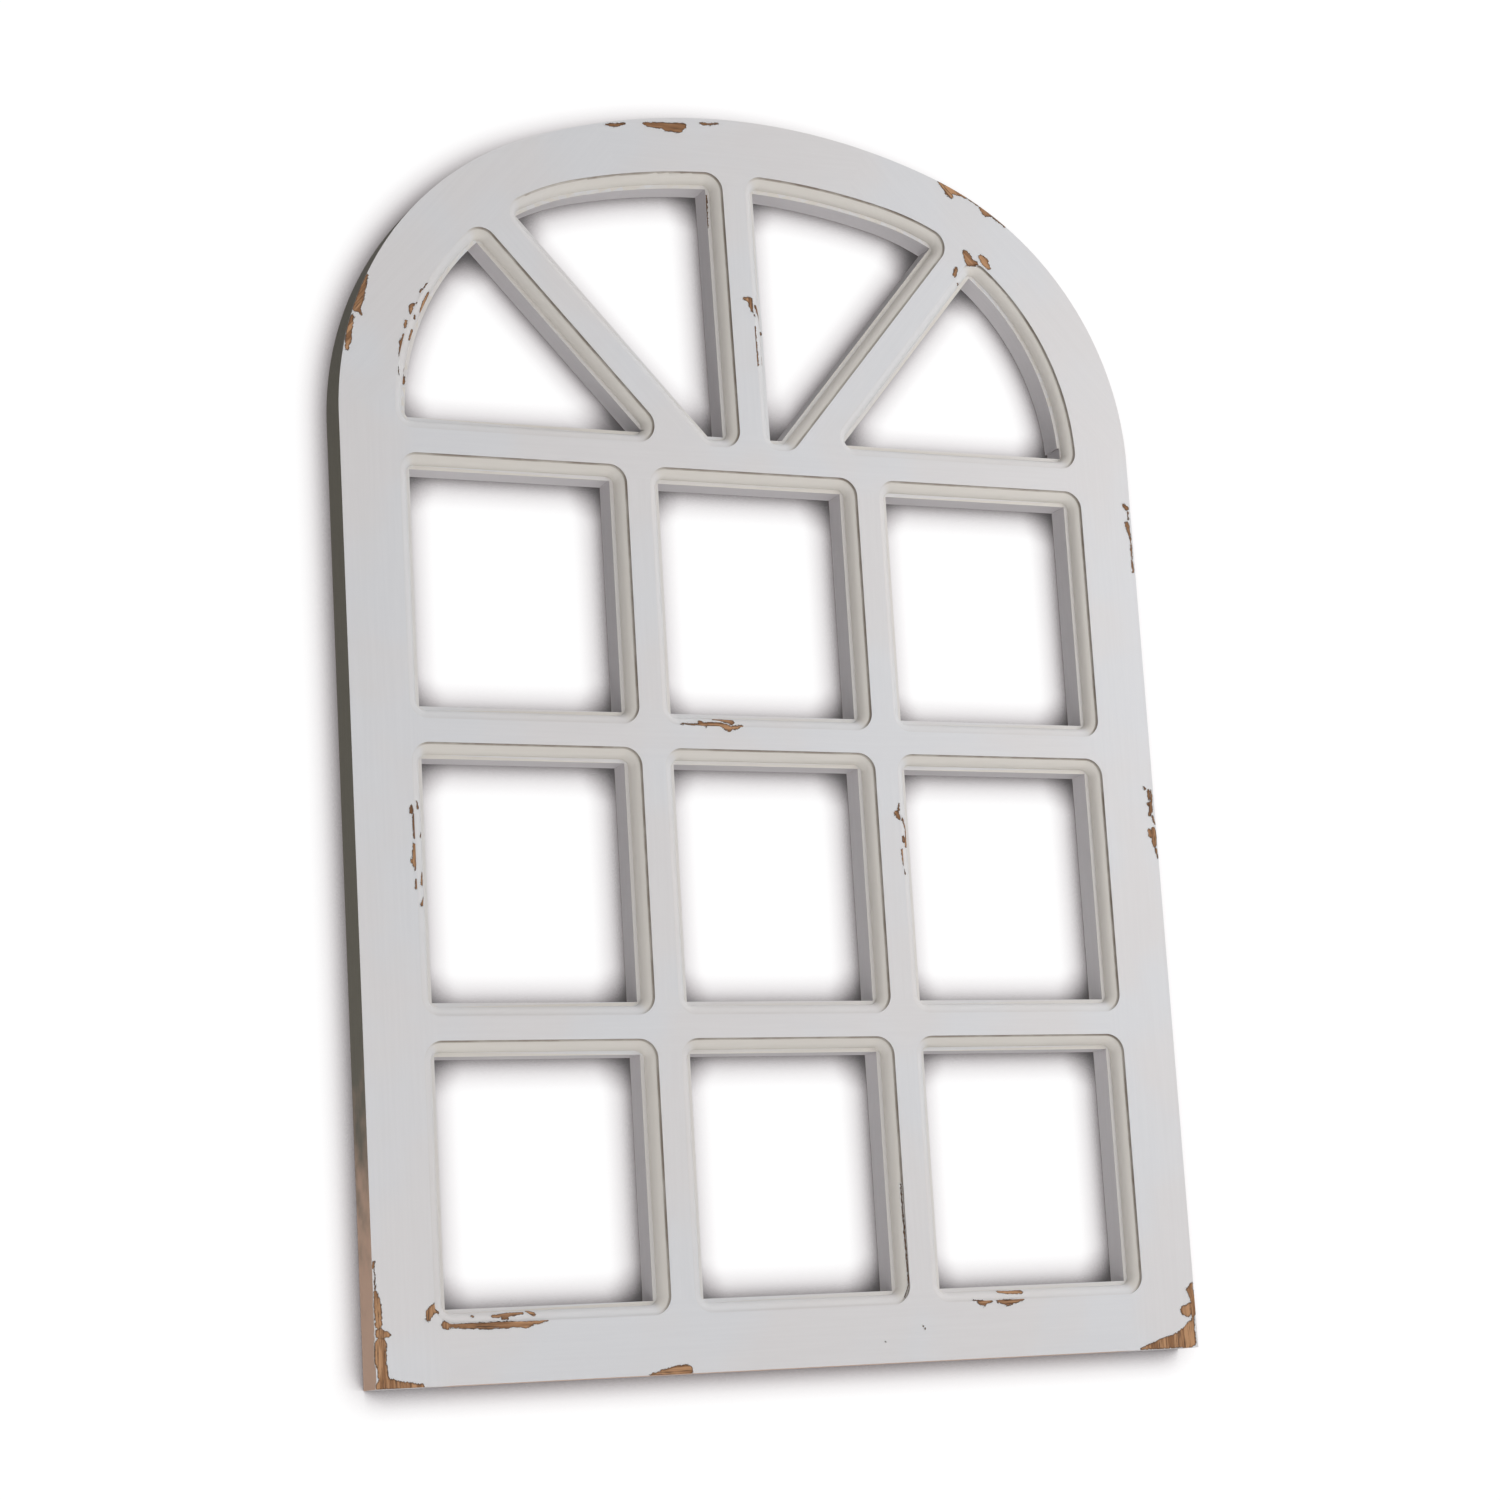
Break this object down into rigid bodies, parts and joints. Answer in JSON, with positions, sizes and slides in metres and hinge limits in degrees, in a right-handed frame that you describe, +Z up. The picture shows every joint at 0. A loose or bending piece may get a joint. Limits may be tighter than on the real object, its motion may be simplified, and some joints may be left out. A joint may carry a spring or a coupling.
{
  "type": "arched window frame",
  "caption": "Open arched window frame in worn white-painted timber, with a fan of spokes over a grid of square lights, moulded edges and ring hangers on the back.",
  "frame": {"origin": "middle of the bottom rail's back face, on the wall plane and 22.5 mm above the frame's foot", "axes": "+X to the right as seen from the room, +Y into the wall, +Z up the frame"},
  "size_m": [0.56, 0.025, 0.8148],
  "materials": {
    "painted_timber": "matt white paint, chipped to bare timber",
    "bare_timber": "bare",
    "plated_steel": "bright zinc plate"
  },
  "bodies": {
    "frame": {"left_stile": "painted_timber", "right_stile": "painted_timber", "bottom_rail": "painted_timber", "transom": "painted_timber", "lower_cross_bar": "painted_timber", "upper_cross_bar": "painted_timber", "left_upright_bar": "painted_timber", "right_upright_bar": "painted_timber", "left_haunch": "painted_timber", "right_haunch": "painted_timber", "crown": "painted_timber", "left_spoke": "painted_timber", "centre_spoke": "painted_timber", "right_spoke": "painted_timber", "frame_dowels": "bare_timber", "spoke_dowels": "bare_timber", "hanger_screws": "plated_steel", "left_hanger_strap": "plated_steel", "right_hanger_strap": "plated_steel"},
    "left_ring": {"left_hanger_ring": "plated_steel"},
    "right_ring": {"right_hanger_ring": "plated_steel"}
  },
  "joints": [
    {"name": "left_ring_swing", "type": "hinge", "parent": "frame", "child": "left_ring", "pos_m": [-0.258, -0.00522, 0.4975], "axis": [1, 0, 0], "range_deg": [0, 180]},
    {"name": "right_ring_swing", "type": "hinge", "parent": "frame", "child": "right_ring", "pos_m": [0.258, -0.00522, 0.4975], "axis": [1, 0, 0], "range_deg": [0, 180]}
  ]
}
